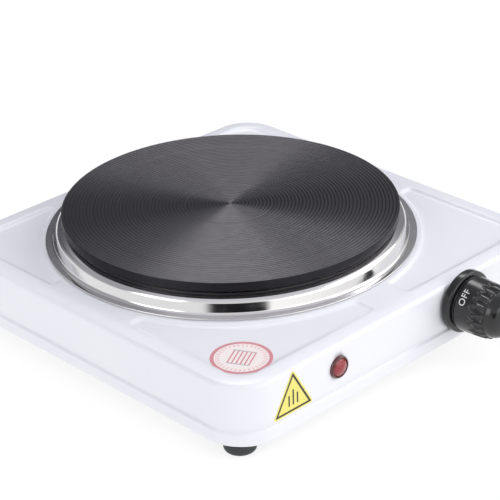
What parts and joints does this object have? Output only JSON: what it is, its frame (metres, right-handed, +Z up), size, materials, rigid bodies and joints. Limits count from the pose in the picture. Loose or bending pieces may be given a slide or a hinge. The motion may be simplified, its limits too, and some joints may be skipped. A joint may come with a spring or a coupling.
{
  "type": "single electric hot plate",
  "caption": "Table-top electric hot plate: a round cast-iron plate in a polished ring on a square white steel body, with a turning control knob and an indicator lamp.",
  "frame": {"origin": "on the table, under the middle of the outline that runs from the knob's nose at the front to the cord gland at the back", "axes": "+Z up, -Y to the front where the knob is, +X to the right"},
  "size_m": [0.2376, 0.272, 0.057],
  "materials": {
    "white_enamel": "baked white enamel, satin gloss",
    "cast_iron": "turned in fine rings, dark coated",
    "polished_steel": "polished stainless steel",
    "plain_steel": "zinc plated",
    "black_plastic": "gloss moulded thermoset",
    "red_lens": "clear red moulded lens",
    "rubber": "matt moulded rubber",
    "ceramic": "unglazed steatite",
    "mineral_wool": "pressed mineral fibre",
    "brass": "plain",
    "glass": "clear",
    "lead_sleeve": "woven glass-fibre sleeve",
    "earth_sleeve": "green and yellow sleeve",
    "yellow_label": "printed film",
    "white_label": "printed film"
  },
  "bodies": {
    "root": {"bottom_cover": "plain_steel", "bush_nut": "brass", "centre_stud": "plain_steel", "cord_gland": "black_plastic", "corner_bracket_front_left": "plain_steel", "corner_bracket_front_right": "plain_steel", "corner_bracket_rear_left": "plain_steel", "corner_bracket_rear_right": "plain_steel", "earth_stud": "plain_steel", "foot_front_left": "rubber", "foot_front_right": "rubber", "foot_rear_left": "rubber", "foot_rear_right": "rubber", "foot_screw_front_left": "plain_steel", "foot_screw_front_right": "plain_steel", "foot_screw_rear_left": "plain_steel", "foot_screw_rear_right": "plain_steel", "heat_shield_pan": "plain_steel", "heating_element": "plain_steel", "hot_plate": "cast_iron", "indicator_bezel": "red_lens", "indicator_lens": "red_lens", "insulation_disc": "mineral_wool", "lamp_lead_left": "lead_sleeve", "lamp_lead_right": "lead_sleeve", "lamp_retainer": "plain_steel", "lead_earth": "earth_sleeve", "lead_element": "lead_sleeve", "lead_live": "lead_sleeve", "lead_load": "lead_sleeve", "lead_neutral": "lead_sleeve", "mounting_bar": "plain_steel", "neon_bulb": "glass", "rating_plate": "white_label", "round_label": "white_label", "spindle_bush": "brass", "stud_nut": "plain_steel", "stud_washer": "plain_steel", "terminal_block": "ceramic", "terminal_screw_earth": "brass", "terminal_screw_live": "brass", "terminal_screw_neutral": "brass", "thermal_fuse": "ceramic", "thermostat_body": "ceramic", "thermostat_tab_load": "brass", "thermostat_tab_supply": "brass", "top_housing": "white_enamel", "triangle_label": "yellow_label", "trim_ring": "polished_steel"},
    "control_knob": {"knob": "black_plastic", "control_spindle": "plain_steel"},
    "contact_blade": {"thermostat_blade": "brass"}
  },
  "joints": [
    {"name": "knob_turn", "type": "hinge", "parent": "root", "child": "control_knob", "pos_m": [0.0429, -0.103, 0.0277], "axis": [0, 1, 0], "range_deg": [0, 270]},
    {"name": "blade_flex", "type": "hinge", "parent": "root", "child": "contact_blade", "pos_m": [0.0309, -0.0761, 0.0312], "axis": [0, 0, 1], "range_deg": [0, 3]}
  ],
  "couplings": [
    {"joint": "blade_flex", "follows": "knob_turn", "ratio": 0.01}
  ]
}
